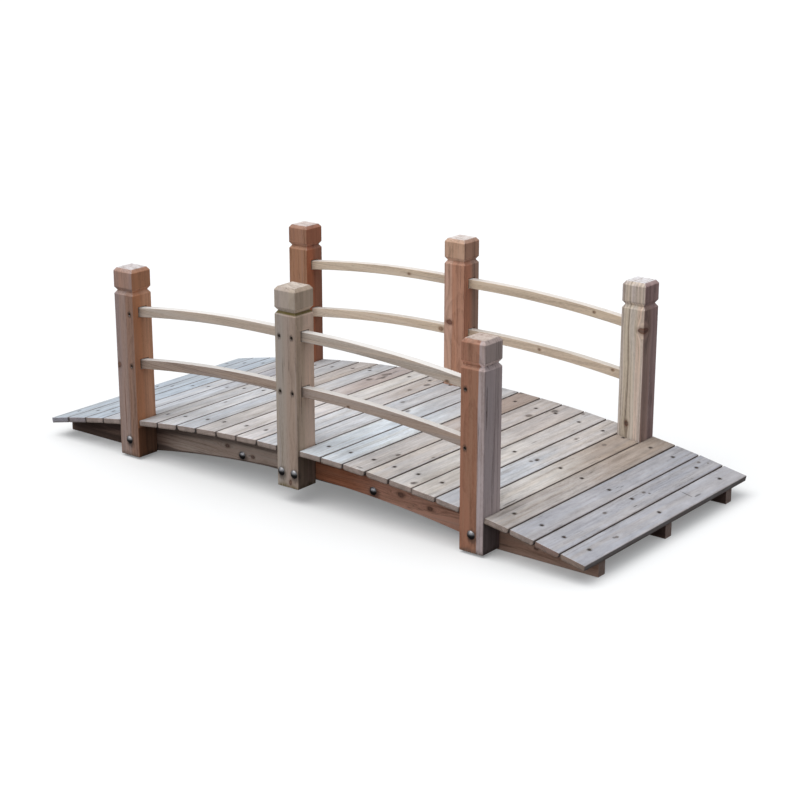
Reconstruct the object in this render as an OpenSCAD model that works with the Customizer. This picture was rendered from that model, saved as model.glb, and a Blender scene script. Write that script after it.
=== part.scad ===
// Small arched timber garden bridge: a deck of boards on three arched stringers,
// six posts with turned-in necks and arched rails let into the posts.
// X runs along the walkway, Y across it, Z up. The feet stand on Z = 0.

/* [Deck] */
// Overall length, outer edge to outer edge of the end boards
bridge_len = 1524; // [1300:1:1800]
// Rise of the walking surface from its ends to the crown
deck_rise = 81.5; // [60:0.5:100]
// Height of the walking surface above the ground at the crown
crown_h = 125.5; // [118:0.5:150]
// Number of deck boards
board_count = 25; // [25:2:27]
// Gap between neighbouring deck boards
board_gap = 3.5; // [2:0.5:6]
// Thickness of a deck board
board_t = 13; // [10:0.5:18]
// Distance from a full deck board's end back to the posts' outer face
board_end_inset = 1; // [0.5:0.5:10]
// Gap between a short deck board and the post beside its end
board_post_gap = 2; // [1:0.5:5]
// Height of a deck board over its true tangent seat
seat = 0.1; // [0.05:0.05:0.3]

/* [Stringers] */
// Thickness of a stringer and of a splice plate
stringer_t = 25; // [18:0.5:32]
// Distance from the deck's end back to a stringer's end
stringer_inset = 5; // [3:0.5:12]
// Half distance between the two springings of the arch
springing_x = 505; // [460:1:560]
// Rise of the underside of the arch
arch_rise = 45; // [36:0.5:52]
// Gap at the butt joint of two stringer halves
butt_gap = 0.6; // [0.2:0.1:2]
// Length of a splice plate
splice_len = 460; // [430:1:560]
// Height of a splice plate
splice_h = 60; // [52:0.5:66]
// Height of a splice plate's lower edge above the ground
splice_z = 31; // [26:0.5:34]

/* [Posts] */
// Side of a square post
post_w = 60; // [54:0.5:66]
// Radius of a post's arrises
arris_r = 2.5; // [1.5:0.5:6]
// Width between the outer faces of opposite posts
post_span = 664.1; // [650:0.1:680]
// Height of a middle post's top above the ground
middle_top_h = 482.6; // [450:0.1:540]
// Height of a middle post's foot above the ground
middle_foot_h = 35.6; // [33:0.1:50]
// Drop from a middle post to an end post of the same length
end_post_drop = 30.3; // [20:0.1:33]
// Number of board pitches from a middle post to an end post
post_pitches = 8; // [7:1:9]
// Height of the bevel around a post's top
bevel_h = 8; // [5:0.5:12]
// Width of the bevel around a post's top, seen from above
bevel_w = 6; // [3:0.5:10]
// Distance from a post's top down to the middle of its groove
groove_drop = 53; // [44:0.5:60]
// Height of the groove's mouth
groove_h = 16; // [10:0.5:20]
// Depth of the groove
groove_d = 6; // [3:0.5:9]

/* [Rails] */
// Thickness of a rail, across the bridge
rail_t = 19; // [16:0.5:24]
// Height of a rail
rail_h = 22; // [18:0.5:26]
// Depth of an upper rail's top edge below the middle post's top
upper_rail_drop = 96; // [85:0.5:115]
// Depth of a lower rail's top edge below the middle post's top
lower_rail_drop = 219; // [180:0.5:250]
// Fall of a rail from the middle post to the end post
rail_fall = 25; // [15:0.5:30]
// Camber of a rail between its two posts
rail_camber = 8; // [5:0.5:14]
// Length of rail inside a post
tenon_len = 19; // [12:0.5:22]
// Clearance at the end of a rail inside its mortise
mortise_end_gap = 1; // [0.5:0.5:3]
// Clearance beside a rail inside its mortise, on each side
mortise_side_gap = 4; // [1:0.5:5]
// Clearance over a rail inside its mortise
mortise_top_gap = 2; // [1:0.5:4]

/* [Bolts] */
// Diameter of a bolt's shank
bolt_d = 8; // [6:0.5:10]
// Extra diameter of a bolt hole
bolt_play = 0.6; // [0.3:0.1:1.5]
// Diameter of a bolt's domed head
head_d = 19; // [16:0.5:22]
// Height of a bolt's domed head
head_h = 4.5; // [3:0.5:6]
// Diameter of a washer
washer_d = 20; // [18:0.5:24]
// Thickness of a washer
washer_t = 1.5; // [1:0.5:3]
// Width across the flats of a nut
nut_af = 13; // [12:0.5:14]
// Height of a nut
nut_h = 6.5; // [5:0.5:8]
// Length of bolt that stands out of its nut
bolt_tail = 4; // [2:0.5:8]
// Height of the bolt through an end post
end_bolt_z = 44; // [36:0.5:54]
// Height of the bolts through a middle post
middle_bolt_z = 69.5; // [60:0.5:78]
// Half distance between the bolts through a middle post
middle_bolt_x = 18; // [14:0.5:20]
// Height of the outer splice bolts
splice_bolt_z = 53; // [46:0.5:66]
// Half distance between the outer splice bolts
splice_bolt_x = 190; // [160:1:200]

/* [Hidden] */

ARC_FACETS = 720;
HOLE_FACETS = 48;
EPS = 0.01;

pale_wood = [0.74, 0.72, 0.70];
cream_wood = [0.72, 0.66, 0.57];
grey_wood = [0.36, 0.31, 0.27];
red_wood = [0.45, 0.31, 0.24];
brown_wood = [0.56, 0.43, 0.36];
tan_wood = [0.64, 0.56, 0.49];
zinc = [0.68, 0.69, 0.70];

// Radius of the circle through the ends and the crown of an arc
function arc_radius(half_chord, rise) = (half_chord * half_chord + rise * rise) / (2 * rise);

// The walking surface and the stringers' upper edge share one centre
deck_r = arc_radius(bridge_len / 2, deck_rise);
arc_centre_z = crown_h - deck_r;
stringer_r = deck_r - board_t - seat;
deck_angle = 2 * asin(bridge_len / 2 / deck_r);
deck_arc = deck_angle * PI / 180 * deck_r;
board_w = (deck_arc - (board_count - 1) * board_gap) / board_count;
pitch_angle = (board_w + board_gap) / deck_r * 180 / PI;
mid_board = (board_count - 1) / 2;
end_post_x = deck_r * sin(post_pitches * pitch_angle);

stringer_end_x = bridge_len / 2 - stringer_inset;
arch_r = arc_radius(springing_x, arch_rise);
post_inner_y = post_span / 2 - post_w;
board_len = post_span - 2 * board_end_inset;
short_board_len = 2 * (post_inner_y - board_post_gap);

post_len = middle_top_h - middle_foot_h;
end_post_z = middle_foot_h - end_post_drop;
upper_rail_z = middle_top_h - upper_rail_drop;
lower_rail_z = middle_top_h - lower_rail_drop;

// Rails lie in the posts' middle plane. A clear span runs from a middle post's face to an end post's
rail_x0 = post_w / 2;
rail_x1 = end_post_x - post_w / 2;
rail_chord = norm([rail_x1 - rail_x0, rail_fall]);
rail_arc_r = arc_radius(rail_chord / 2, rail_camber);
rail_tilt = atan(rail_fall / (rail_x1 - rail_x0));
rail_y = (post_span - post_w) / 2;

// A plate t thick with its profile in XZ and its near face at y
module upright(y, t) translate([0, y + t, 0]) rotate([90, 0, 0]) linear_extrude(t) children();

// A round rod of length len that starts at y and runs along +Y
module rod(d, y, len) translate([0, y, 0]) rotate([-90, 0, 0])
    cylinder(d = d, h = len, $fn = HOLE_FACETS);

// Deck boards, each flat on the stringers and turned with the arc
module board(i, len) translate([0, 0, arc_centre_z]) rotate([0, (i - mid_board) * pitch_angle, 0])
    translate([-board_w / 2, -len / 2, deck_r - board_t]) cube([board_w, len, board_t]);

module boards(first, last) color(pale_wood) for (i = [first : last]) board(i, board_len);
module short_board(i) color(pale_wood) board(i, short_board_len);

// One half of a stringer on the +X side of the joint, with a flat foot and an arched underside
module stringer_profile() difference() {
    intersection() {
        translate([0, arc_centre_z]) circle(r = stringer_r, $fn = ARC_FACETS);
        translate([butt_gap / 2, 0]) square([stringer_end_x - butt_gap / 2, crown_h]);
    }
    translate([0, arch_rise - arch_r]) circle(r = arch_r, $fn = ARC_FACETS);
}

// Bolt holes on the +X side: through a middle post, through the splice and through an end post
module bolt_holes(y, len) {
    hole_d = bolt_d + bolt_play;
    translate([middle_bolt_x, 0, middle_bolt_z]) rod(hole_d, y, len);
    translate([splice_bolt_x, 0, splice_bolt_z]) rod(hole_d, y, len);
    translate([end_post_x, 0, end_bolt_z]) rod(hole_d, y, len);
}

module stringer_half(y, tone) color(tone) difference() {
    upright(y, stringer_t) stringer_profile();
    bolt_holes(y - EPS, stringer_t + 2 * EPS);
}

module splice_plate(y) color(grey_wood) difference() {
    translate([-splice_len / 2, y, splice_z]) cube([splice_len, stringer_t, splice_h]);
    for (side = [0, 1]) mirror([side, 0, 0]) bolt_holes(y - EPS, stringer_t + 2 * EPS);
}

// Cross-section of a post: a square with rounded arrises
module post_section() {
    square([post_w, post_w - 2 * arris_r], center = true);
    square([post_w - 2 * arris_r, post_w], center = true);
    for (sx = [-1, 1], sy = [-1, 1]) translate([sx, sy] * (post_w / 2 - arris_r))
        circle(r = arris_r, $fn = HOLE_FACETS);
}

// The groove and the top bevel, cut into one side of a post; z runs up from its foot
module neck_cuts() for (turn = [0 : 90 : 270]) rotate(turn) upright(-post_w, 2 * post_w) {
    groove_z = post_len - groove_drop;
    polygon([[post_w / 2 - groove_d, groove_z],
        [post_w / 2 + EPS, groove_z - groove_h / 2],
        [post_w / 2 + EPS, groove_z + groove_h / 2]]);
    polygon([[post_w / 2 - bevel_w, post_len + EPS],
        [post_w / 2, post_len - bevel_h],
        [post_w, post_len - bevel_h],
        [post_w, post_len + EPS]]);
}

// Arc of a rail's profile in XZ, for the bay on the +X side; grow widens it for a mortise
module rail_profile(top_z, x0, x1, grow) {
    mid = [(rail_x0 + rail_x1) / 2, top_z - rail_fall / 2];
    centre = mid + (rail_camber - rail_arc_r) * [sin(rail_tilt), cos(rail_tilt)];
    intersection() {
        translate(centre) difference() {
            circle(r = rail_arc_r + grow, $fn = ARC_FACETS);
            circle(r = rail_arc_r - rail_h - (grow > 0 ? seat : 0), $fn = ARC_FACETS);
        }
        translate([x0, 0]) square([x1 - x0, middle_top_h]);
    }
}

module rail(top_z) color(cream_wood) upright(-rail_y - rail_t / 2, rail_t)
    rail_profile(top_z, rail_x0 - tenon_len, rail_x1 + tenon_len, 0);

// Mortises of one bay, cut into the posts at x0 and x1 beyond the clear span
module mortises(x0, x1) for (top_z = [upper_rail_z, lower_rail_z])
    upright(-rail_y - rail_t / 2 - mortise_side_gap, rail_t + 2 * mortise_side_gap)
        rail_profile(top_z, x0, x1, mortise_top_gap);

// A near-side post in its place; inner_side is 1 where a middle post takes rails on both sides
module near_post(x, foot_z, inner_side, tone) {
    depth = tenon_len + mortise_end_gap;
    color(tone) difference() {
        translate([x, -post_span / 2 + post_w / 2, foot_z]) difference() {
            linear_extrude(post_len) post_section();
            neck_cuts();
        }
        if (inner_side == 1) {
            for (side = [0, 1]) mirror([side, 0, 0]) mortises(rail_x0 - depth, rail_x0 + EPS);
        } else {
            mortises(rail_x1 - EPS, rail_x1 + depth);
        }
        for (side = [0, 1]) mirror([side, 0, 0]) bolt_holes(-post_span / 2 - EPS, post_w + 2 * EPS);
    }
}

module end_post(tone) near_post(end_post_x, end_post_z, 0, tone);
module middle_post(tone) near_post(0, middle_foot_h, 1, tone);

// Domed bolt from y inwards through a stack of timber, with its washer and nut in one piece
module bolt(x, z, y, stack) translate([x, 0, z]) {
    head_r = arc_radius(head_d / 2, head_h);
    translate([0, y, 0]) rotate([90, 0, 0]) rotate_extrude($fn = HOLE_FACETS) intersection() {
        translate([0, head_h - head_r]) circle(r = head_r, $fn = ARC_FACETS);
        square([head_d / 2, head_h]);
    }
    rod(bolt_d, y, stack + washer_t + nut_h + bolt_tail);
    rod(washer_d, y + stack, washer_t);
    translate([0, y + stack + washer_t, 0]) rotate([-90, 0, 0])
        cylinder(d = nut_af / cos(30), h = nut_h, $fn = 6);
}

module splice_bolts(y, stack) for (sx = [-1, 1]) bolt(sx * splice_bolt_x, splice_bolt_z, y, stack);

module near_bolts() color(zinc) {
    outer = -post_span / 2;
    splice_bolts(-post_inner_y, 2 * stringer_t);
    for (sx = [-1, 1]) {
        bolt(sx * middle_bolt_x, middle_bolt_z, outer, post_w + 2 * stringer_t);
        bolt(sx * end_post_x, end_bolt_z, outer, post_w + stringer_t);
    }
}

module middle_bolts() color(zinc) {
    splice_bolts(-stringer_t / 2, 2 * stringer_t);
    for (sx = [-1, 1]) bolt(sx * middle_bolt_x, middle_bolt_z, -stringer_t / 2, 2 * stringer_t);
}

first_post = mid_board - post_pitches;
last_post = mid_board + post_pitches;
near_y = -post_inner_y;

module to_far() mirror([0, 1, 0]) children();
module to_left() mirror([1, 0, 0]) children();

boards(0, first_post - 1);  // deck_left_end
short_board(first_post);  // deck_left_post_board
boards(first_post + 1, mid_board - 1);  // deck_left_bay
short_board(mid_board);  // deck_middle_board
boards(mid_board + 1, last_post - 1);  // deck_right_bay
short_board(last_post);  // deck_right_post_board
boards(last_post + 1, board_count - 1);  // deck_right_end

to_left() stringer_half(near_y, grey_wood);  // stringer_near_left
stringer_half(near_y, red_wood);  // stringer_near_right
to_left() stringer_half(-stringer_t / 2, grey_wood);  // stringer_middle_left
stringer_half(-stringer_t / 2, red_wood);  // stringer_middle_right
to_far() to_left() stringer_half(near_y, grey_wood);  // stringer_far_left
to_far() stringer_half(near_y, red_wood);  // stringer_far_right

splice_plate(near_y + stringer_t);  // splice_near
splice_plate(stringer_t / 2);  // splice_middle
to_far() splice_plate(near_y + stringer_t);  // splice_far

to_left() end_post(brown_wood);  // post_near_left
middle_post(tan_wood);  // post_near_middle
end_post(brown_wood);  // post_near_right
to_far() to_left() end_post(brown_wood);  // post_far_left
to_far() middle_post(brown_wood);  // post_far_middle
to_far() end_post(tan_wood);  // post_far_right

to_left() rail(upper_rail_z);  // rail_near_left_upper
to_left() rail(lower_rail_z);  // rail_near_left_lower
rail(upper_rail_z);  // rail_near_right_upper
rail(lower_rail_z);  // rail_near_right_lower
to_far() to_left() rail(upper_rail_z);  // rail_far_left_upper
to_far() to_left() rail(lower_rail_z);  // rail_far_left_lower
to_far() rail(upper_rail_z);  // rail_far_right_upper
to_far() rail(lower_rail_z);  // rail_far_right_lower

near_bolts();  // bolts_near
middle_bolts();  // bolts_middle
to_far() near_bolts();  // bolts_far
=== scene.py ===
"""Looks of a low arched timber garden bridge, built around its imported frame. Lengths are in metres."""
import random
from math import asin, atan, ceil, copysign, cos, pi, radians, sin, sqrt
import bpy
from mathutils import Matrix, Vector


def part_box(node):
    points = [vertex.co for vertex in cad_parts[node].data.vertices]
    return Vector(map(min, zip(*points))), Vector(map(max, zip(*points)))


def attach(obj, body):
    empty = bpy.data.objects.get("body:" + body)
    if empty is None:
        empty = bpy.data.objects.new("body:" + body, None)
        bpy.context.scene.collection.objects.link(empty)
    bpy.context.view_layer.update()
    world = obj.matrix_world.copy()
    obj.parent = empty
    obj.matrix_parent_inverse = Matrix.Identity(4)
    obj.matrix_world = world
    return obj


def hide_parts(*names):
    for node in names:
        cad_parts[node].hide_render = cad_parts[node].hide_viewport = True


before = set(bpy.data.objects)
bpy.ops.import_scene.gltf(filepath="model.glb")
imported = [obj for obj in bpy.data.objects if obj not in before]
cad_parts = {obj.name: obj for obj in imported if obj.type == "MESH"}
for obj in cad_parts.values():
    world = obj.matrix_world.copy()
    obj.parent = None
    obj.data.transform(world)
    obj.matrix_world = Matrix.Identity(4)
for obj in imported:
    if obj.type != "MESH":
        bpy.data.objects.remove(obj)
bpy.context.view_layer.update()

from types import SimpleNamespace

import bmesh
import bpy
import numpy as np
from mathutils import Matrix, Vector, noise

MM = 0.001

# Camera, fitted to the photograph
CAMERA_AT = Vector((2.49084, -3.12044, 1.39833))
CAMERA_FORWARD = Vector((-0.58819, 0.75197, -0.29762))
CAMERA_UP = Vector((-0.18334, 0.23445, 0.95468))
CAMERA_LENS = 82.02

# Timber sizes that the frame's boxes don't give
POST_ARRIS = 2.5 * MM
GROOVE_DROP = 53 * MM
GROOVE_H = 16 * MM
GROOVE_D = 6 * MM
BEVEL_H = 8 * MM
BEVEL_W = 6 * MM
RAIL_H = 22 * MM
MORTISE_SIDE_GAP = 4 * MM
MORTISE_TOP_GAP = 2 * MM
MORTISE_SEAT = 0.1 * MM
SPRINGING_X = 505 * MM
ARCH_RISE = 45 * MM

# How far the ends of the timbers are eased, their arrises, and the steps between their sections
BOARD_EASE, BOARD_STEP = 1.3 * MM, 12 * MM
POST_STEP = 9 * MM
RAIL_EASE, RAIL_ARRIS, RAIL_STEP = 1.0 * MM, 1.6 * MM, 9 * MM
BEAM_EASE, BEAM_ARRIS, BEAM_STEP = 1.2 * MM, 2 * MM, 14 * MM

# How deep each kind is worn, and the waves of that in cycles per metre along and across the grain
BOARD_WORN = (0.35 * MM, (9, 55, 55))
POST_WORN = (0.35 * MM, (7, 40, 40))
RAIL_WORN = (0.25 * MM, (9, 60, 60))
BEAM_WORN = (0.3 * MM, (6, 40, 40))

# Small fixings
SCREW_HEAD_R = 3.5 * MM
SCREW_HOLE_R = 3.9 * MM
SCREW_SUNK = 1.1 * MM
RAIL_SCREW_DEEPER = 0.6 * MM
RAIL_SCREW_INSET = 12.5 * MM
BOLT_R = 4 * MM
BOLT_HEAD_R = 9.5 * MM
BOLT_HEAD_H = 4.5 * MM
WASHER_R = 10 * MM
WASHER_T = 1.5 * MM
NUT_ACROSS = 13 * MM
NUT_H = 6.5 * MM
BOLT_TAIL = 4 * MM
BOLT_SIDES = 40
THREAD_PITCH = 1.25 * MM
THREAD_DEEP = 0.55 * MM

# The first seeds of each kind's random draws and of its wear
BOARD_SEED, BOARD_WEAR = 7, 0
POST_SEED, POST_WEAR = 69, 102
RAIL_SEED, RAIL_WEAR = 307, 60
STRINGER_SEED, STRINGER_WEAR = 407, 80
SPLICE_SEED, SPLICE_WEAR = 507, 100

# How white the floor looks, and how much of its light reaches the bridge from below
FLOOR_SEEN = 0.62
FLOOR_GLOW = 0.2
FLOOR_BOUNCE = 0.1

# An overcast sky: its strength at the horizon, what the zenith adds and what the front left adds
SKY_LOW = 0.07
SKY_HIGH = 1.15
SKY_FRONT = 0.7
SKY_FRONT_AT = Vector((-0.35, -0.9, 0.2)).normalized()
KEY_FROM = Vector((-0.22, -0.28, 0.93))
KEY_ENERGY = 1.57


# Materials

def chained(operation):
    """A call that carries an operation on over all its values, and may keep the last result from 0 to 1."""
    def call(graph, *values, clamp=False):
        result = values[0]
        for value in values[1:-1]:
            result = graph.math(operation, result, value)
        return graph.math(operation, result, values[-1], clamp=clamp)
    return call


class Graph:
    """Adds nodes to a tree. Values are numbers, tuples or sockets, and most calls give an output socket."""

    add = chained("ADD")
    sub = chained("SUBTRACT")
    mul = chained("MULTIPLY")
    most = chained("MAXIMUM")

    def __init__(self, tree):
        self.tree = tree

    def put(self, socket, value):
        if isinstance(value, bpy.types.NodeSocket):
            self.tree.links.new(value, socket)
        else:
            socket.default_value = value

    def node(self, kind, values=None, **settings):
        """The outputs of a new shader node."""
        made = self.tree.nodes.new("ShaderNode" + kind)
        for key, value in settings.items():
            setattr(made, key, value)
        for key, value in (values or {}).items():
            self.put(made.inputs[key], value)
        return made.outputs

    def math(self, operation, *values, clamp=False):
        return self.node("Math", dict(enumerate(values)), operation=operation, use_clamp=clamp)[0]

    def abs(self, value):
        return self.math("ABSOLUTE", value)

    def swing(self, value, amount):
        """Noise of 0 to 1 as a swing of amount about nought."""
        return self.mul(self.sub(value, 0.5), amount)

    def vector(self, operation, a, b=(0, 0, 0), scale=1.0):
        outputs = self.node("VectorMath", {0: a, 1: b, 3: scale}, operation=operation)
        return outputs[1 if operation in ("LENGTH", "DOT_PRODUCT") else 0]

    def scaled(self, vector, scale):
        return self.vector("SCALE", vector, scale=scale)

    def reach(self, offset, radii):
        """Distance from the middle of an ellipsoid, as a share of its radii."""
        return self.vector("LENGTH", self.vector("DIVIDE", offset, radii))

    def mix(self, factor, a, b):
        return self.node("Mix", {0: factor, 6: a, 7: b}, data_type="RGBA")[2]

    def ramp(self, value, low, high, to_low=0.0, to_high=1.0):
        """Smooth step of value from low to high, as to_low to to_high."""
        values = {0: value, 1: low, 2: high, 3: to_low, 4: to_high}
        return self.node("MapRange", values, interpolation_type="SMOOTHSTEP")[0]

    def noise(self, where, scale, detail=2.0, roughness=0.5):
        """Noise from 0 to 1 at where times scale, a vector of cycles per metre."""
        placed = self.vector("MULTIPLY", where, scale)
        values = {"Vector": placed, "Scale": 1.0, "Detail": detail, "Roughness": roughness}
        return self.node("TexNoise", values)[0]

    def split(self, vector):
        return tuple(self.node("SeparateXYZ", {0: vector}))

    def join(self, x, y, z):
        return self.node("CombineXYZ", {0: x, 1: y, 2: z})[0]


def group(name, inputs, outputs):
    """A new node group with its Graph and the sockets in it, which are asked for as names by kind."""
    made = bpy.data.node_groups.new(name, "ShaderNodeTree")
    for in_out, sockets in (("INPUT", inputs), ("OUTPUT", outputs)):
        for kind, labels in sockets.items():
            for label in labels.split():
                made.interface.new_socket(label, in_out=in_out, socket_type="NodeSocket" + kind)
    source = made.nodes.new("NodeGroupInput")
    target = made.nodes.new("NodeGroupOutput")
    return made, Graph(made), SimpleNamespace(**dict(source.outputs.items())), target.inputs


def knot_group():
    """A knot: an ellipsoid that the grain flows round, with its own dark rings."""
    sockets = {"Vector": "where", "Float": "knots rings"}
    made, g, given, out = group("knot", {"Vector": "where centre radii", "Float": "knots rings"}, sockets)
    offset = g.vector("SUBTRACT", given.where, given.centre)
    wobble = g.swing(g.noise(given.where, (90, 130, 130)), 0.7)
    reach = g.add(g.reach(offset, given.radii), wobble)
    far = g.reach(offset, g.vector("MULTIPLY", given.radii, (2.6, 1.0, 1.0)))
    pull = g.math("DIVIDE", 0.85, g.most(g.mul(far, far), 1.0))
    aside = g.vector("MULTIPLY", g.scaled(offset, pull), (0, 1, 1))
    g.put(out["where"], g.vector("SUBTRACT", given.where, aside))
    g.put(out["knots"], g.most(given.knots, g.ramp(reach, 1.15, 0.8)))
    rim = g.mul(g.ramp(reach, 1.9, 1.0), g.ramp(reach, 0.35, 1.0))
    g.put(out["rings"], g.most(given.rings, rim))
    return made


def stain_group():
    """A dark patch about a point, added to those so far; callers place stains with it, and painted shade and
    shadow.
    """
    sockets = {"Vector": "where centre radii", "Float": "stains"}
    made, g, given, out = group("stain", sockets, {"Float": "stains"})
    reach = g.reach(g.vector("SUBTRACT", given.where, given.centre), given.radii)
    wobble = g.swing(g.noise(given.where, (120, 300, 300)), 0.9)
    g.put(out["stains"], g.most(given.stains, g.ramp(g.add(reach, wobble), 1.3, 0.5)))
    return made


def add_rings(g, where, given):
    """Late wood of growth rings round the pith, which wanders along the grain."""
    sway = g.swing(g.noise(where, (2.4, 8, 8)), 0.03)
    dip = g.swing(g.noise(where, (3.1, 3, 3)), 0.05)
    _, y, z = g.split(g.vector("SUBTRACT", given.where, given.pith))
    radius = g.vector("LENGTH", g.join(0.0, g.add(y, sway), g.add(z, dip)))
    rings = g.add(g.math("DIVIDE", radius, given.ring), g.mul(g.noise(where, (7, 60, 60)), 0.8))
    phase = g.math("FRACT", rings)
    late = g.mul(g.ramp(phase, 0.15, 0.88), g.ramp(phase, 1.0, 0.93))
    each = g.node("TexWhiteNoise", {"W": g.math("FLOOR", rings)}, noise_dimensions="1D")[0]
    return g.mul(late, g.ramp(each, 0.0, 1.0, 0.45, 1.0))


BLACK = (0, 0, 0, 1)
CHECK_COLOUR = (0.035, 0.026, 0.02, 1)
# Colour of the painted shade below the deck
DAMP_COLOUR = (0.02, 0.009, 0.006, 1)
SPECK_COLOUR = (0.09, 0.08, 0.075, 1)
# Colour of stains, and of the painted shade and shadow carried among them
STAIN_COLOUR = (0.03, 0.022, 0.019, 1)


def wood_group():
    """Sawn softwood from a point, its grain along X: rings, fibre, checks, weathering, grime and specks, with
    painted shade below the deck and painted light on faces that look up and down.
    """
    sockets = {
        "Vector": "where pith",
        "Color": "light dark tint cool grey top end side dirt knot",
        "Float": "ring contrast figure bands lines side_bands mottle tinted weathered checks grime seed "
                 "knots rings stains on_top on_end on_side edge low damp flank",
    }
    made, g, given, out = group("wood", sockets, {"Color": "colour", "Float": "roughness height"})
    where = g.vector("ADD", given.where, g.scaled((0.37, 0.71, 0.53), given.seed))
    late = add_rings(g, where, given)
    # Streaks along the grain, from broad bands to single fibres
    broad = g.noise(where, (1.3, 34, 34), 3.0, 0.6)
    streak = g.noise(where, (4.5, 150, 150), 4.0, 0.65)
    fibre = g.noise(where, (26, 1500, 1500), 2.0, 0.6)
    fleck = g.noise(where, (110, 330, 330), 3.0, 0.65)
    patch = g.noise(where, (7, 17, 17), 3.0, 0.6)
    dark = g.add(
        g.mul(late, given.figure), g.swing(streak, 1.7), g.swing(fibre, 0.6), g.swing(fleck, 0.9),
        g.swing(broad, given.bands),
    )
    line = g.mul(g.ramp(g.noise(where, (1.2, 105, 105), 3.0, 0.55), 0.53, 0.68), given.lines)
    dark = g.add(g.mul(dark, given.contrast), line, clamp=True)
    # Hues that change from band to band
    warm = g.mul(g.ramp(g.noise(where, (1.7, 42, 42), 2.0, 0.6), 0.42, 0.6), given.tinted)
    cool = g.mul(g.ramp(g.noise(where, (1.4, 58, 58), 2.0, 0.6), 0.48, 0.64), given.tinted)
    light = g.mix(cool, g.mix(warm, given.light, given.tint), given.cool)
    dim = g.add(g.mul(dark, 0.8), g.swing(g.noise(where, (0.9, 80, 80), 4.0, 0.65), given.side_bands))
    side = g.mix(g.most(dim, 0.0, clamp=True), given.side, g.mix(0.66, given.side, BLACK))
    colour = g.mix(given.on_side, g.mix(dark, light, given.dark), side)
    # Grey bloom where rain and sun reach, and a painted highlight on faces that look up
    bloom = g.mul(g.ramp(patch, 0.3, 0.7, 0.25, 1.0), given.weathered, clamp=True)
    bloom = g.mul(bloom, g.ramp(dark, 0.0, 1.0, 1.0, 0.55))
    colour = g.mix(bloom, colour, given.grey)
    top = g.mul(given.on_top, g.ramp(g.add(dark, g.swing(patch, 0.8)), 0.15, 1.1, 1.0, 0.45))
    colour = g.mix(top, colour, given.top)
    # End grain
    blot = g.swing(g.noise(where, (75, 75, 75), 3.0, 0.65), 2.6)
    rough_end = g.add(g.mul(late, 0.8), blot, g.swing(fleck, 1.6), clamp=True)
    end = g.mix(rough_end, given.end, g.mix(0.75, given.end, given.dark))
    colour = g.mix(given.on_end, colour, end)
    shade = g.swing(g.noise(where, (13, 48, 48), 4.0, 0.7), given.mottle)
    colour = g.scaled(colour, g.add(shade, 1.0))
    # Faces that look down are made lighter: painted light
    colour = g.mix(given.flank, colour, g.scaled(colour, 2.4))
    # Checks: fine dark splits along the grain
    line = g.abs(g.sub(g.noise(where, (3.2, 140, 140), 1.0), 0.5))
    gate = g.ramp(g.noise(where, (9, 30, 30)), 0.52, 0.66)
    check = g.mul(g.ramp(line, 0.014, 0.004), gate, given.checks)
    colour = g.mix(g.mul(check, 0.75), colour, CHECK_COLOUR)
    # Grime along the edges, a darker colour low down, mildew specks, and stains round the fixings
    grime = g.mul(given.edge, g.ramp(patch, 0.25, 0.65, 0.5, 1.0), given.grime)
    colour = g.mix(grime, colour, given.dirt)
    colour = g.mix(g.mul(given.low, g.ramp(fleck, 0.3, 0.7, 0.45, 0.9)), colour, given.dirt)
    # Painted shade below the deck, in streaks
    damp = g.mul(given.damp, g.ramp(streak, 0.3, 0.7, 0.8, 1.0))
    colour = g.mix(damp, colour, g.mix(0.2, DAMP_COLOUR, colour))
    speck = g.ramp(g.noise(where, (300, 400, 400), 2.0, 0.6), 0.69, 0.77)
    colour = g.mix(g.mul(speck, g.ramp(patch, 0.45, 0.65), 0.3), colour, SPECK_COLOUR)
    # Stains, with the painted shade in cracks and painted shadow below bolt heads that pieces carry among
    # them
    colour = g.mix(g.mul(given.stains, 0.6), colour, STAIN_COLOUR)
    # Knots with dark rims and a resinous ring
    core = g.ramp(g.noise(where, (220, 260, 260), 3.0), 0.35, 0.65)
    core = g.mix(core, g.scaled(given.knot, 0.3), given.knot)
    rim = g.mix(0.45, given.dark, given.knot)
    colour = g.mix(g.mul(given.rings, 0.45), colour, rim)
    g.put(out["colour"], g.mix(g.mul(given.knots, 0.8), colour, core))
    height = g.add(g.mul(fibre, 0.5), g.mul(streak, 0.45), g.mul(late, 0.35))
    g.put(out["height"], g.sub(height, g.mul(check, 1.6), g.mul(given.knots, 0.3)))
    rough = g.add(0.76, g.swing(streak, 0.25))
    g.put(out["roughness"], g.sub(rough, g.mul(given.knots, 0.2), clamp=True))
    return made


KNOT = knot_group()
WOOD = wood_group()
STAIN = stain_group()


def srgb(*values):
    """A linear colour from screen values of 0 to 255."""
    return tuple((v / 255) ** 2.2 for v in values) + (1.0,)


def scaled(colour, factors):
    return tuple(c * f for c, f in zip(colour, factors))


# What a look has unless it says otherwise, with the width of a growth ring in millimetres
LOOK = {
    "contrast": 0.9, "figure": 0.4, "bands": 0.8, "lines": 0.35, "side_bands": 2.4, "mottle": 0.0,
    "tinted": 0.5, "weathered": 0.3, "checks": 0.6, "grime": 0.6, "ring": 3.2,
    "dirt": (92, 78, 68), "knot": (108, 74, 58),
}
# Its other colours, as shares of the light one
SHARES_OF_LIGHT = {
    "light": (1, 1, 1), "dark": (0.64, 0.60, 0.56), "tint": (0.98, 0.93, 0.87), "cool": (0.94, 0.97, 1.01),
    "grey": (0.94, 0.95, 0.97), "top": (1, 1, 1), "end": (0.84, 0.78, 0.74), "side": (1, 1, 1),
}
FRONT_HUES = ("light", "tint", "cool", "dark")


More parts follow.
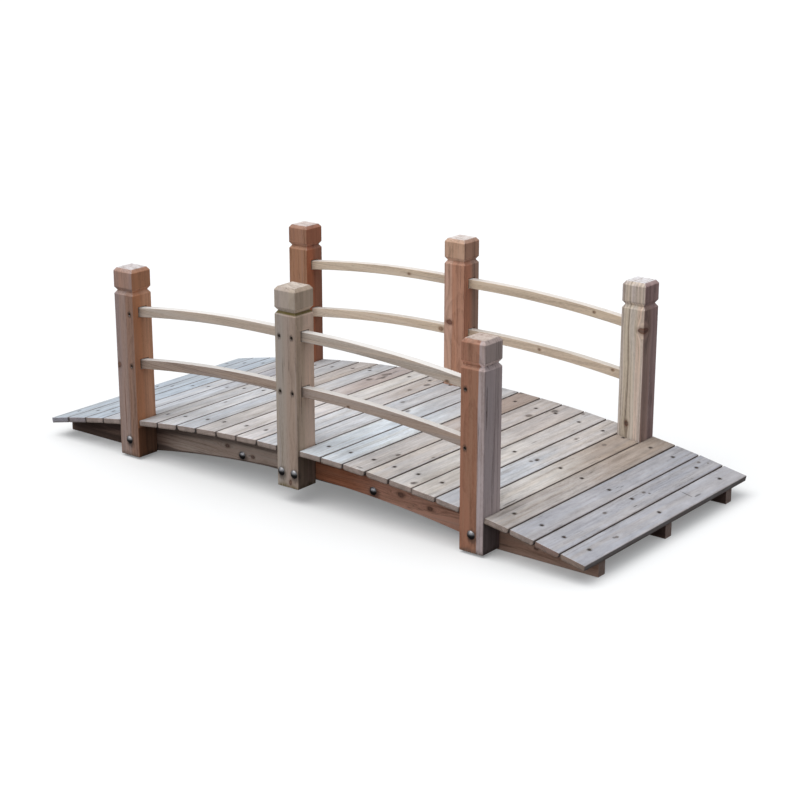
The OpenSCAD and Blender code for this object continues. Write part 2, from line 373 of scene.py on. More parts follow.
def look(light, **given):
    """Values for the wood group, from screen colours."""
    shares = {hue: scaled(light, factors) for hue, factors in SHARES_OF_LIGHT.items()}
    values = {**LOOK, **shares, **given}
    values["ring"] *= MM
    return {key: srgb(*value) if isinstance(value, tuple) else value for key, value in values.items()}


def round_stain(centre, radius):
    """A stain that has drawn a little further along the grain, as (centre, radii)."""
    return centre, (1.33 * radius, radius, radius)


def blended(g, here, values, blends):
    """The values with blends mixed in, each as (look, axis, where along that it starts, where it is full)."""
    for other, axis, start, full in blends:
        if axis == 0:
            drift = g.swing(g.noise(here, (9, 30, 30)), 0.8 * abs(full - start))
        else:
            drift = g.swing(g.noise(here, (4, 60, 60), 3.0, 0.65), 0.012)
        share = g.ramp(g.add(g.split(here)[axis], drift), start, full)
        hues = {key: g.mix(share, values[key], hue) for key, hue in other.items() if isinstance(hue, tuple)}
        values = {**values, **hues}
    return values


def new_material(name):
    """A material, with the Graph of its nodes and the inputs of its shader."""
    material = bpy.data.materials.new(name)
    material.use_nodes = True
    return material, Graph(material.node_tree), material.node_tree.nodes["Principled BSDF"].inputs


def wood_material(name, values, rng, pith, masks=None, knots=(), stains=(), blends=()):
    """Timber in its piece's own metres, with the grain along X.

    knots and stains are (centre, radii). masks gives where on the piece the wood group's extra colours show,
    from the Graph, the place and the parts of the normal. blends are looks that the piece drifts to.
    """
    material, g, shader = new_material(name)
    coordinates = g.node("TexCoord")
    here = where = coordinates["Object"]
    knotted = ringed = stained = 0.0
    for centre, radii in knots:
        given = {"where": where, "centre": centre, "radii": radii, "knots": knotted, "rings": ringed}
        where, knotted, ringed = g.node("Group", given, node_tree=KNOT)
    for centre, radii in stains:
        given = {"where": here, "centre": centre, "radii": radii, "stains": stained}
        stained = g.node("Group", given, node_tree=STAIN)[0]
    values = blended(g, here, values, blends)
    normal = g.split(coordinates["Normal"])
    given = {
        "on_end": g.ramp(g.abs(normal[0]), 0.55, 0.85), "seed": rng.uniform(0, 40), "pith": pith,
        "where": where, "knots": knotted, "rings": ringed, "stains": stained,
        **(masks(g, here, normal) if masks else {}),
    }
    made = g.node("Group", {**values, **given}, node_tree=WOOD)
    bump = g.node("Bump", {"Strength": 0.5, "Distance": 0.6 * MM, "Height": made["height"]})[0]
    g.put(shader["Base Color"], made["colour"])
    g.put(shader["Roughness"], made["roughness"])
    g.put(shader["Normal"], bump)
    g.put(shader["Specular IOR Level"], 0.3)
    return material


def metal_material(name, colour, roughness, dirt=0.0):
    """Plated steel with faint blotches, and painted shade on the sides that look down."""
    material, g, shader = new_material(name)
    coordinates = g.node("TexCoord")
    blotch = g.noise(coordinates["Object"], (420, 420, 420), 3.0, 0.6)
    plate = g.mix(g.ramp(blotch, 0.35, 0.7), srgb(*colour), srgb(*scaled(colour, (0.72, 0.72, 0.72))))
    up = g.split(coordinates["Normal"])[2]
    # Painted shade on the sides that look down, standing for the dark ground they face
    unwashed = g.ramp(g.add(up, g.swing(blotch, 0.5)), 0.3, -0.15, 0.0, dirt)
    g.put(shader["Base Color"], g.mix(unwashed, plate, srgb(38, 33, 31)))
    g.put(shader["Roughness"], g.ramp(blotch, 0.3, 0.7, roughness, roughness + 0.18))
    g.put(shader["Metallic"], 1.0)
    return material


# Meshes

def spaced(a, b, count):
    """The points that part the way from a to b into count steps, with the last one, at b."""
    return [tuple(p + (q - p) * k / count for p, q in zip(a, b)) for k in range(1, count + 1)]


def ring_points(half_w, half_h, radii, flat_w, flat_h, arc):
    """Points (y, z) round a rectangle, from +Y +Z anticlockwise. radii is one or the four corners' own."""
    radii = radii if isinstance(radii, tuple) else (radii,) * 4
    signs = ((1, 1), (-1, 1), (-1, -1), (1, -1))

    def on_corner(corner, angle):
        (sy, sz), radius = signs[corner % 4], radii[corner % 4]
        centre = (sy * (half_w - radius), sz * (half_h - radius))
        return centre[0] + radius * cos(angle), centre[1] + radius * sin(angle)

    points = []
    for corner in range(4):
        start = corner * pi / 2
        points += [on_corner(corner, start + step * pi / 2 / arc) for step in range(arc + 1)]
        goal = on_corner(corner + 1, start + pi / 2)
        points += spaced(points[-1], goal, flat_h if corner % 2 else flat_w)[:-1]
    return points


def eased_ends(start, end, ease, step):
    """Stations (x, inset) along a beam, closer together at its eased ends."""
    turns = [radians(a) for a in (0, 30, 60, 90)]
    first = [(start + ease * (1 - cos(a)), ease * (1 - sin(a))) for a in turns]
    span = end - start - 2 * ease
    count = max(2, round(span / step))
    middle = [(start + ease + span * k / count, 0.0) for k in range(1, count)]
    last = [(start + end - x, inset) for x, inset in first[::-1]]
    return first + middle + last


def new_ring(bm, points):
    return [bm.verts.new(p) for p in points]


def skin(bm, rows):
    """Faces between neighbouring rings of equally many vertices."""
    size = len(rows[0])
    for a, b in zip(rows, rows[1:]):
        for k in range(size):
            n = (k + 1) % size
            bm.faces.new((a[k], a[n], b[n], b[k]))


def capped(bm, rows):
    """A closed skin over rings of vertices."""
    skin(bm, rows)
    bm.faces.new(rows[0][::-1])
    bm.faces.new(rows[-1])


def loft(rings):
    """A closed bmesh through rings of equally many points."""
    bm = bmesh.new()
    capped(bm, [new_ring(bm, ring) for ring in rings])
    bmesh.ops.recalc_face_normals(bm, faces=bm.faces)
    return bm


def add_loft(bm, rings):
    made = loft(rings)
    mesh = bpy.data.meshes.new("added")
    made.to_mesh(mesh)
    made.free()
    bm.from_mesh(mesh)
    bpy.data.meshes.remove(mesh)


def round_ring(bm, matrix, radii, height):
    """A ring of vertices round Z of matrix, one for each of radii."""
    points = []
    for k, radius in enumerate(radii):
        angle = 2 * pi * k / len(radii)
        points.append(matrix @ Vector((radius * cos(angle), radius * sin(angle), height)))
    return new_ring(bm, points)


def add_turned(bm, matrix, profile, count):
    """A turned solid: profile is (radius, height), from the axis to the axis, about Z of matrix."""
    rows = [round_ring(bm, matrix, [radius] * (count if radius else 1), height) for radius, height in profile]
    for a, b in zip(rows, rows[1:]):
        for k in range(count):
            n = (k + 1) % count
            if len(a) == 1:
                bm.faces.new((a[0], b[k], b[n]))
            elif len(b) == 1:
                bm.faces.new((a[k], b[0], a[n]))
            else:
                bm.faces.new((a[k], b[k], b[n], a[n]))


def wear(bm, seed, worn):
    """Sinks the surface in slow waves along the grain."""
    amount, waves = worn
    bm.normal_update()
    moves = []
    for v in bm.verts:
        at = Vector((v.co.x * waves[0] + seed * 3.1, v.co.y * waves[1], v.co.z * waves[2] + seed))
        moves.append(v.normal * -amount * (0.5 + 0.5 * noise.noise(at)))
    for v, move in zip(bm.verts, moves):
        v.co += move


def placed(name, data, matrix=Matrix.Identity(4)):
    """A new object in the scene."""
    made = bpy.data.objects.new(name, data)
    made.matrix_world = matrix
    bpy.context.scene.collection.objects.link(made)
    return made


def mesh_object(name, bm, *matrix):
    mesh = bpy.data.meshes.new(name)
    bm.to_mesh(mesh)
    bm.free()
    return placed(name, mesh, *matrix)


def smooth(obj, angle=38):
    """Smooth shading with sharp edges past angle, and normals that keep the broad faces flat."""
    for p in obj.data.polygons:
        p.use_smooth = True
    obj.data.set_sharp_from_angle(angle=radians(angle))
    modifier = obj.modifiers.new("normals", "WEIGHTED_NORMAL")
    modifier.keep_sharp = True
    modifier.weight = 80


def cut(obj, cutter_bm):
    """Takes the cutter's solids out of obj, both in obj's own coordinates."""
    cutter = mesh_object(obj.name + "_cutter", cutter_bm, obj.matrix_world)
    bpy.context.view_layer.update()
    modifier = obj.modifiers.new("cut", "BOOLEAN")
    modifier.operation = "DIFFERENCE"
    modifier.solver = "EXACT"
    modifier.object = cutter
    modifier.use_self = True
    evaluated = obj.evaluated_get(bpy.context.evaluated_depsgraph_get())
    mesh = bpy.data.meshes.new_from_object(evaluated)
    obj.modifiers.clear()
    obj.data = mesh
    bpy.data.objects.remove(cutter)


def solids(node):
    """The corner points of each solid in a CAD node, as arrays, from low X to high X."""
    bm = bmesh.new()
    bm.from_mesh(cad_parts[node].data)
    bmesh.ops.remove_doubles(bm, verts=bm.verts, dist=1e-6)
    seen, found = set(), []
    for start in bm.verts:
        if start in seen:
            continue
        stack, members = [start], []
        seen.add(start)
        while stack:
            v = stack.pop()
            members.append(tuple(v.co))
            for e in v.link_edges:
                other = e.other_vert(v)
                if other not in seen:
                    seen.add(other)
                    stack.append(other)
        found.append(np.array(members))
    bm.free()
    return sorted(found, key=lambda points: points[:, 0].mean())


def box_of(node):
    """A CAD node's low and high corner, and its middle."""
    low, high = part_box(node)
    return low, high, Vector(((low.x + high.x) / 2, (low.y + high.y) / 2, (low.z + high.z) / 2))


def dress(obj, node, material):
    """Puts a finished piece in its CAD node's place."""
    obj.data.materials.clear()
    obj.data.materials.append(material)
    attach(obj, "root")
    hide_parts(node)


BOLT_NODES = ("bolts_near", "bolts_middle", "bolts_far")
BOLT_PLACES = [(Vector(points.min(0)), Vector(points.max(0)))
               for node in BOLT_NODES for points in solids(node)]


def bolt_stains(node, into):
    """Dark patches round the bolt heads that sit on a piece's outer face, in its own frame: part stain, part
    painted shadow of the head.
    """
    low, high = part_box(node)
    stains = []
    for bolt_low, bolt_high in BOLT_PLACES:
        x, z = (bolt_low.x + bolt_high.x) / 2, (bolt_low.z + bolt_high.z) / 2
        near = bolt_low.y + bolt_high.y < 0
        head = bolt_low.y + BOLT_HEAD_H if near else bolt_high.y - BOLT_HEAD_H
        face = low.y if near else high.y
        if low.x < x < high.x and abs(head - face) < MM:
            # Set below and to the right of the head, as its painted shadow
            stains.append(round_stain(tuple(into @ Vector((x + 3 * MM, face, z - 4 * MM))), 12.5 * MM))
    return stains


# Screws

def add_screw_hole(bm, matrix, depth):
    """The countersink of a screw whose axis is Z of matrix and whose mouth is at its origin."""
    above, below = 0.5 * MM, -depth - 1.2 * MM
    profile = [(0, above), (SCREW_HOLE_R, above), (SCREW_HOLE_R, -depth * 0.7),
               (SCREW_HOLE_R * 0.8, below), (0, below)]
    add_turned(bm, matrix, profile, 20)


def add_screw(bm, matrix):
    """A countersunk screw head with a cross recess, sunk below its mouth at the origin of matrix."""
    top = -SCREW_SUNK
    arm, wide, deep = 2.1 * MM, 0.55 * MM, 1.1 * MM
    cross = [(wide, wide), (wide, arm), (-wide, arm)]
    for _ in range(3):
        cross += [(-y, x) for x, y in cross[-3:]]
    outer, crown, foot = (
        round_ring(bm, matrix, [SCREW_HEAD_R * share] * 24, height)
        for share, height in ((1, top - 0.12 * MM), (0.9, top), (0.45, top - 2.4 * MM))
    )
    mouth, floor = (
        new_ring(bm, [matrix @ Vector((x * share, y * share, height)) for x, y in cross])
        for share, height in ((1, top), (0.7, top - deep))
    )
    for pair in ((outer, crown), (foot, outer), (mouth, floor)):
        skin(bm, pair)
    bm.faces.new(foot)
    bm.faces.new(floor[::-1])
    edges = []
    for ring in (crown, mouth):
        edges += [bm.edges.get(pair) or bm.edges.new(pair) for pair in zip(ring, ring[1:] + ring[:1])]
    bmesh.ops.triangle_fill(bm, use_beauty=True, edges=edges)


# Deck boards

BOARD_TONES = {
    "snow": (204, 210, 216), "pearl": (199, 200, 204), "chalk": (207, 202, 201), "ice": (174, 182, 191),
    "frost": (189, 191, 196), "silver": (182, 181, 183), "blush": (189, 183, 180), "rose": (183, 175, 171),
    "cream": (196, 191, 187), "sand": (178, 171, 167), "beige": (170, 158, 154), "slate": (167, 166, 171),
    "steel": (160, 160, 166), "tan": (160, 147, 137), "brown": (162, 146, 137),
}
# The tones of each board's near and far end, from the left end of the bridge. The fourteenth board's near end
# is lighter, to offset the middle post's shadow: painted light
TONES_OF_BOARD = """
    ice-ice ice-ice ice-ice frost-silver frost-slate silver-silver pearl-silver frost-rose blush-silver
    chalk-beige chalk-cream pearl-rose pearl-silver snow-silver snow-silver blush-brown blush-rose cream-rose
    cream-blush frost-blush cream-tan sand-tan slate-steel slate-steel slate-slate
""".split()
# End grain, with that of the boards that have another
BOARD_END = (160, 143, 135)
BOARD_ENDS = {0: (152, 149, 158), 1: (150, 140, 143), 23: (142, 116, 106), 24: (144, 124, 112)}
# The boards' long sides, dark as painted shade in the gaps between them
BOARD_SIDE = (116, 106, 103)
LAST_BOARD_SIDE = (140, 134, 134)
BOARD_KNOT = (98, 87, 82)
# Knots as (board, from the bridge's middle line to the far side, from the board's to the right, radius), in
# millimetres
DECK_KNOTS = [
    (17, 277, -18, 6), (15, 328, -22, 4), (18, 313, -24, 3), (11, 232, 13, 6), (8, 287, -24, 4),
    (12, 87, -10, 4), (13, 40, -20, 4), (16, 208, 18, 6), (19, -17, -7, 3), (19, 3, -4, 3),
    (17, -306, 16, 4), (20, 191, -13, 4), (19, 169, -12, 3), (23, 293, -12, 3), (23, 308, 3, 2),
    (23, 52, -9, 3), (23, 59, 0, 2), (23, -103, -9, 3), (24, -171, 2, 3), (9, 196, -14, 6),
    (9, 252, -9, 6), (9, 224, 4, 4), (11, 175, 5, 4), (15, -205, 20, 4), (6, -120, -14, 3),
    (2, 160, 8, 4), (0, -90, -10, 4), (4, 60, 12, 3),
]
# Small dark stains and short cracks, given in the same way, with the radii along and across the grain
DECK_MARKS = [
    (24, 127, -8, 2.2, 15), (24, 145, 9, 14, 2.2), (24, -178, 0, 5, 3), (9, 224, 2, 26, 4),
    (23, -20, 14, 9, 2), (15, -203, 21, 9, 3), (16, -163, 22, 7, 3), (17, -303, 19, 11, 5),
    (15, -319, 7, 3.5, 9), (20, -226, 23, 30, 2.5),
]
# Places of the screws along a board, and the height of its top over its middle
SCREW_ROWS = (-261 * MM, MM, 264 * MM)
BOARD_TOP = 6.5 * MM
# Wane and wear under the right and left edge of the boards' near ends, as radii in millimetres
WANED = {
    5: (4, 2), 6: (8, 2), 7: (10, 10), 8: (4, 3), 9: (5, 8), 10: (9, 3), 11: (3, 7), 13: (2, 4),
    14: (7, 3), 15: (9, 6), 16: (4, 8), 17: (3, 2), 18: (5, 2), 19: (3, 9), 21: (7, 2), 22: (6, 8),
    23: (8, 4), 24: (3, 7),
}
WANE_LENGTH = 34 * MM
BOARD_NODES = ("deck_left_end", "deck_left_post_board", "deck_left_bay", "deck_middle_board",
               "deck_right_bay", "deck_right_post_board", "deck_right_end")
LAST_BOARD = 24


def board_look(number, tone, ring):
    light = BOARD_TONES[tone]
    return look(
        light, cool=scaled(light, (0.95, 0.965, 0.985)), tint=scaled(light, (0.98, 0.955, 0.92)),
        grey=scaled(light, (0.89, 0.89, 0.9)), end=BOARD_ENDS.get(number, BOARD_END),
        side=LAST_BOARD_SIDE if number == LAST_BOARD else BOARD_SIDE, knot=BOARD_KNOT, ring=ring,
        contrast=0.95, figure=0.2, bands=1.3, tinted=0.7, weathered=0.45, lines=0.2, mottle=0.9,
    )


def board_masks(half_width):
    """Sides dark as painted shade in the gaps, grime along the edges, and a darker colour towards the
    underside.
    """
    def masks(g, here, normal):
        _, across, up = g.split(here)
        drift = g.swing(g.noise(here, (25, 90, 90), 3.0, 0.6), 7 * MM)
        return {
            "edge": g.ramp(g.add(g.abs(across), drift), half_width - 4 * MM, half_width + MM),
            "low": g.ramp(up, -MM, -BOARD_TOP),
            "on_side": g.ramp(g.abs(normal[1]), 0.5, 0.8),
        }
    return masks


def board_material(number, rng, screws, width):
    ring = rng.uniform(2.4, 4.4)
    near, far = (board_look(number, tone, ring) for tone in TONES_OF_BOARD[number].split("-"))
    pith = (0, rng.uniform(-0.03, 0.03), rng.choice((-1, 1)) * rng.uniform(0.03, 0.07))
    knots = []
    for which, along, across, radius in DECK_KNOTS:
        if which == number:
            knots.append(((along * MM, -across * MM, 4 * MM), (1.5 * radius * MM, radius * MM, 30 * MM)))
    stains = [round_stain((x, y, BOARD_TOP), 5.5 * MM) for x, y in screws]
    for which, along, across, radius, half_width in DECK_MARKS:
        if which == number:
            stains.append(((along * MM, -across * MM, BOARD_TOP), (radius * MM, half_width * MM, 6 * MM)))
    name = f"deck_wood_{number + 1:02d}"
    return wood_material(name, near, rng, pith, board_masks(width / 2), knots, stains, [(far, 0, -0.12, 0.2)])


def board_frame(points):
    """A board's own frame, whose X is +Y of the row and Y is -X, and its length, width and thickness."""
    end = points[np.isclose(points[:, 1], points[:, 1].max())][:, [0, 2]]
    spread = end - end.mean(0)
    across = np.linalg.svd(spread)[2][0]
    across = across * np.sign(across[0])
    normal = np.array([-across[1], across[0]])
    along = Vector((0, 1, 0))
    up = Vector((normal[0], 0, normal[1]))
    matrix = Matrix((along, up.cross(along), up)).transposed().to_4x4()
    matrix.translation = Vector(points.mean(0))
    return matrix, np.ptp(points[:, 1]), np.ptp(spread @ across), np.ptp(spread @ normal)


def board_rings(number, length, width, thick, rng):
    """Sections of a board that isn't quite straight or square, with its edges eased and its ends waned."""
    trim = [rng.uniform(0, 2.0) * MM for _ in range(2)]
    # How far each edge, right and left, stands in from the frame's at both ends: some stand out a little
    edge_in = [[rng.uniform(-0.9, 0.3) * MM for _ in range(2)] for _ in range(2)]
    if number in (0, LAST_BOARD):
        edge_in[0 if number else 1] = [0.3 * MM, 0.3 * MM]
    skew = [rng.uniform(-0.6, 0.6) * MM for _ in range(2)]
    far_wane = random.Random(BOARD_SEED + number).choices((0, 3, 5, 8), k=2)
    rings = []
    for x, inset in eased_ends(-length / 2 + trim[0], length / 2 - trim[1], BOARD_EASE, BOARD_STEP):
        share = x / length
        right_in, left_in = (a + (b - a) * (share + 0.5) for a, b in edge_in)
        half_w = width / 2 - (right_in + left_in) / 2 - inset
        eased = max(0.25 * MM, BOARD_EASE - inset)
        waned = WANED.get(number, (0, 0)) if share < 0 else far_wane
        fade = max(0.0, 1 - (length / 2 - abs(x)) / WANE_LENGTH)
        right, left = (eased + max(0.0, radius * MM - eased) * fade for radius in waned)
        points = ring_points(half_w, thick / 2 - inset, (eased, eased, right, left), 6, 2, 3)
        turned = (skew[0] if share < 0 else skew[1]) * abs(2 * share)
        aside = (right_in - left_in) / 2
        rings.append([Vector((x + turned * y / half_w, y + aside, z)) for y, z in points])
    return rings


def build_board(node, number, points, rng, screw_bm):
    matrix, length, width, thick = board_frame(points)
    bm = loft(board_rings(number, length, width, thick, rng))
    wear(bm, BOARD_WEAR + number, BOARD_WORN)
    obj = mesh_object(f"deck_board_{number + 1:02d}", bm, matrix)
    screws = [(row + rng.uniform(-4, 4) * MM, (3 + rng.uniform(-5, 6)) * MM) for row in SCREW_ROWS]
    cutter = bmesh.new()
    for x, y in screws:
        place = Matrix.Translation((x, y, thick / 2 - 0.1 * MM))
        add_screw_hole(cutter, place, SCREW_SUNK)
        add_screw(screw_bm, matrix @ place @ Matrix.Rotation(rng.uniform(0, pi / 2), 4, "Z"))
    cut(obj, cutter)
    smooth(obj)
    dress(obj, node, board_material(number, rng, screws, width))


# Arcs of the stringers and rails

def stringer_edges():
    """Radii and centre heights of the stringers' top and underside, from the frame."""
    points = solids("stringer_near_right")[0]
    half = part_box("stringer_near_right")[1].x
    end_z = points[np.isclose(points[:, 0], half, atol=1e-6)][:, 2].max()
    crown = points[:, 2].max()
    rise = crown - end_z
    top_r = (half * half + rise * rise) / (2 * rise)
    arch_r = (SPRINGING_X ** 2 + ARCH_RISE ** 2) / (2 * ARCH_RISE)
    return top_r, crown - top_r, arch_r, ARCH_RISE - arch_r


TOP_R, TOP_Z, ARCH_R, ARCH_Z = stringer_edges()


def stringer_top(x):
    """Height of the stringers' top at x, which is that of the boards' underside."""
    return TOP_Z + sqrt(TOP_R ** 2 - x * x)


def rail_arc(node):
    """The quadratic through a rail's middle line, and its middle Y and thickness, from the frame."""
    points = solids(node)[0]
    near = points[np.isclose(points[:, 1], points[:, 1].min(), atol=1e-5)]
    fit = np.polyfit(near[:, 0], near[:, 2], 2)
    for _ in range(3):
        above = near[:, 2] > np.polyval(fit, near[:, 0])
        top = np.polyfit(near[above, 0], near[above, 2], 2)
        bottom = np.polyfit(near[~above, 0], near[~above, 2], 2)
        fit = (top + bottom) / 2
    low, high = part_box(node)
    return fit, (low.y + high.y) / 2, high.y - low.y


def rails_of(side, bays):
    return [f"rail_{side}_{bay}_{level}" for bay in bays for level in ("upper", "lower")]


RAIL_NODES = rails_of("near", ("left", "right")) + rails_of("far", ("left", "right"))
RAIL_ARCS = {node: rail_arc(node) for node in RAIL_NODES}


def rail_z(node, x):
    return float(np.polyval(RAIL_ARCS[node][0], x))


def rail_rings(node, grow, start, end, ease, step, corner):
    """Sections square to a rail's arc, in the row frame, grown by (aside, up, down)."""
    fit, y0, thick = RAIL_ARCS[node]
    slope = np.polyder(fit)
    aside, up, down = grow
    rings = []
    for x, inset in eased_ends(start, end, ease, step):
        tilt = atan(float(np.polyval(slope, x)))
        normal = Vector((-sin(tilt), 0, cos(tilt)))
        middle = Vector((x, y0, rail_z(node, x))) + normal * (up - down) / 2
        half_h = RAIL_H / 2 + (up + down) / 2 - inset
        half_t = thick / 2 + aside - inset
        points = ring_points(half_t, half_h, max(corner - inset, 0.2 * MM), 2, 2, 3)
        rings.append([middle + Vector((0, y, 0)) + normal * z for y, z in points])
    return rings


# Posts

# Each post's look, and:
# turned, the colour that its right side takes towards the far side;
# cap, how much lighter its cap is than its shaft, at the front and on the right side;
# flank, how much painted light lifts the faces that look down, such as its groove's upper side, and mossy,
# whether the groove is green;
# strip, what its front turns to on its right, from and to which place in mm, and whether its cap does too;
# pith, where the tree's pith was, for rings that run as stripes down one face;
# knots, as (centre, radii) in the post's own frame: up from the foot, towards -X, towards -Y;
# cracks, as (face, to the right on that face, up from the foot, length, width) in millimetres.
POSTS = {
    "post_near_left": dict(
        look=look((160, 138, 130), tint=(168, 136, 120), cool=(144, 132, 136), side=(184, 124, 88),
                  end=(204, 197, 197), figure=0.3, weathered=0.15, side_bands=1.3, lines=0.25),
        turned=(200, 146, 114), cap=((1.05, 0.98, 0.93), (0.97, 0.99, 1.02)), flank=0.2,
        strip=((152, 118, 100), 2, 10, False),
        knots=[((0.217, 0.022, 0.030), (0.007, 0.005, 0.020))],
        cracks=[("-Y", -8, 60, 130, 1.2)],
    ),
    "post_near_middle": dict(
        look=look((171, 157, 145), tint=(168, 153, 132), cool=(164, 154, 150), side=(188, 163, 142),
                  end=(194, 181, 170), figure=0.3, dirt=(96, 84, 44), grime=1.0, side_bands=1.5, lines=0.25),
        turned=(212, 182, 163), cap=((1.08, 1.07, 1.07), (0.99, 1.0, 1.0)), flank=0.4, mossy=True,
        strip=((170, 150, 138), -10, 5, False),
        knots=[((0.013, -0.008, 0.030), (0.006, 0.004, 0.015)), ((0.30, 0.030, -0.01), (0.009, 0.02, 0.006))],
        cracks=[("+X", -14, 140, 120, 1.6), ("-X", -9, 80, 150, 1.4)],
    ),
    "post_near_right": dict(
        look=look((162, 115, 93), tint=(160, 108, 86), cool=(154, 118, 96), side=(170, 156, 157),
                  end=(188, 173, 164), figure=0.4, weathered=0.1, side_bands=3.2, ring=7, lines=0.3),
        turned=(180, 164, 164), cap=((1.04, 1.05, 1.07), (1.0, 0.99, 0.96)), flank=0.9,
        strip=((188, 171, 169), 12, 16, True), pith=(0, 0.0, -0.18),
        knots=[((0.15, 0.030, 0.005), (0.010, 0.02, 0.007)), ((0.26, 0.0, -0.030), (0.009, 0.007, 0.02))],
        cracks=[("+X", -22.5, 262, 96, 4.6), ("+X", 4, 120, 190, 1.3), ("+Y", 8, 120, 140, 1.3)],
    ),
    "post_far_left": dict(
        look=look((162, 119, 93), tint=(160, 113, 86), cool=(155, 122, 106), side=(168, 100, 71),
                  end=(204, 191, 186), figure=0.35, weathered=0.1, side_bands=2.0, knot=(84, 46, 30)),
        turned=(150, 100, 80), cap=((0.98, 0.98, 1.02), (0.97, 1.05, 1.15)), flank=0.25,
        knots=[((0.31, 0.030, 0.004), (0.007, 0.018, 0.005)), ((0.2, 0.0, -0.030), (0.009, 0.007, 0.02))],
        cracks=[("-X", 6, 150, 160, 1.4)],
    ),
    "post_far_middle": dict(
        look=look((193, 153, 133), tint=(188, 143, 121), cool=(187, 152, 137), side=(180, 122, 97),
                  end=(212, 203, 199), figure=0.35, weathered=0.1, knot=(86, 44, 30)),
        turned=(166, 132, 116), cap=((1.01, 1.03, 1.0), (0.96, 1.08, 1.15)), flank=0.15,
        strip=((180, 131, 107), -8, -4, False),
        knots=[((0.244, 0.013, 0.030), (0.006, 0.009, 0.018)), ((0.12, 0.03, 0.0), (0.009, 0.02, 0.007))],
        cracks=[("-Y", 9, 180, 140, 1.0), ("+Y", -5, 90, 190, 1.6)],
    ),
    "post_far_right": dict(
        look=look((206, 194, 182), tint=(204, 187, 164), cool=(196, 182, 177), side=(157, 127, 117),
                  end=(208, 204, 206), figure=0.75, weathered=0.1, tinted=0.8, lines=0.3, ring=8,
                  side_bands=3.2, knot=(92, 52, 36)),
        turned=(160, 130, 128), cap=((0.99, 0.98, 0.99), (1.06, 1.06, 1.12)), flank=0.15,
        strip=((218, 200, 188), 9, 14, False), pith=(0, 0.16, 0.01),
        knots=[((0.34, -0.027, 0.026), (0.007, 0.013, 0.016)), ((0.12, 0.006, 0.03), (0.007, 0.005, 0.02))],
        cracks=[("+X", 2, 100, 160, 1.4)],
    ),
}
# Turns about a post's length that bring each face to +Z of its own frame, its right hand to -Y
FACE_TURNS = {"-Y": 0, "+X": 90, "+Y": 180, "-X": 270}
# A post's own frame: X is up, Y is -X of the row and Z is -Y
POST_AXES = Matrix(((0, -1, 0), (0, 0, -1), (1, 0, 0))).to_4x4()


def post_outline(length, half):
    """(x, half width) up a post with its groove and bevel, each turn slightly rounded."""
    groove = length - GROOVE_DROP
    turns = [(0, half - 1.2 * MM), (1.2 * MM, half), (groove - GROOVE_H / 2, half), (groove, half - GROOVE_D),
             (groove + GROOVE_H / 2, half), (length - BEVEL_H, half), (length, half - BEVEL_W)]
    radius = 1.1 * MM
    line = [turns[0]]
    for a, b, c in zip(turns, turns[1:], turns[2:]):
        a, b, c = Vector(a), Vector(b), Vector(c)
        before, after = a - b, c - b
        reach = min(radius, before.length * 0.45, after.length * 0.45)
        p, q = b + before.normalized() * reach, b + after.normalized() * reach
        for t in (0, 0.25, 0.5, 0.75, 1):
            line.append(tuple(p * (1 - t) ** 2 + b * 2 * t * (1 - t) + q * t ** 2))
    line.append((turns[-1][0] - 0.3 * MM, turns[-1][1] + 0.15 * MM))
    line.append((turns[-1][0], turns[-1][1] - 0.5 * MM))
    return line


def post_rings(length, full):
    """Sections up a post. Its arrises are sharper where its groove and bevel leave it less wide."""
    line = post_outline(length, full)
    stations = [line[0]]
    for a, b in zip(line, line[1:]):
        stations += spaced(a, b, max(1, ceil((b[0] - a[0]) / POST_STEP)))
    rings = []
    for x, half in stations:
        radius = max(0.7 * MM, POST_ARRIS * (1 - (full - half) / (0.45 * POST_ARRIS)))
        rings.append([Vector((x, y, z)) for y, z in ring_points(half, half, radius, 6, 6, 5)])
    return rings


def add_crack(bm, matrix, length, width, rng):
    """A closed wedge along X of matrix, open at Z = 0, that wanders and tapers to both ends."""
    steps = max(8, round(length / (6 * MM)))
    drift = [0.0]
    for _ in range(steps):
        drift.append(drift[-1] + rng.uniform(-0.35, 0.35) * MM)
    above, below, deep = 0.8 * MM, -0.2 * MM, 2.5 * width
    rings = []
    for k in range(steps + 1):
        swell = sin(pi * k / steps) ** 0.6 + 0.02
        half = width / 2 * swell * rng.uniform(0.75, 1.1)
        x, y = (k / steps - 0.5) * length, drift[k]
        section = ((half, above), (-half, above), (-half, below), (0, -deep * swell), (half, below))
        rings.append([matrix @ Vector((x, y + dy, z)) for dy, z in section])
    add_loft(bm, rings)


def add_mortise(bm, into, node):
    low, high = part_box(node)
    gaps = (MORTISE_SIDE_GAP, MORTISE_TOP_GAP, MORTISE_SEAT)
    rings = rail_rings(node, gaps, low.x - MM, high.x + MM, 0.3 * MM, 10 * MM, 1.2 * MM)
    add_loft(bm, [[into @ p for p in ring] for ring in rings])


def lightened(colour, factors):
    """A linear colour, lighter by factors of its screen values."""
    return tuple(min(1.0, c * f ** 2.2) for c, f in zip(colour, factors)) + (1.0,)


def post_blends(post, length):
    """The turns of colour across a post's right side and front, and at its cap."""
    values, groove = post["look"], length - GROOVE_DROP
    front, side = post["cap"]
    hues = {hue: lightened(values[hue], front) for hue in FRONT_HUES}
    hues["side"] = lightened(values["side"], side)
    blends = [({"side": srgb(*post["turned"])}, 2, 12 * MM, -12 * MM), (hues, 0, groove - MM, groove + MM)]
    if "strip" in post:
        light, start, full_at, on_cap = post["strip"]
        strip = look(light)
        blend = ({hue: strip[hue] for hue in FRONT_HUES}, 1, -start * MM, -full_at * MM)
        blends.insert(2 if on_cap else 1, blend)
    return blends


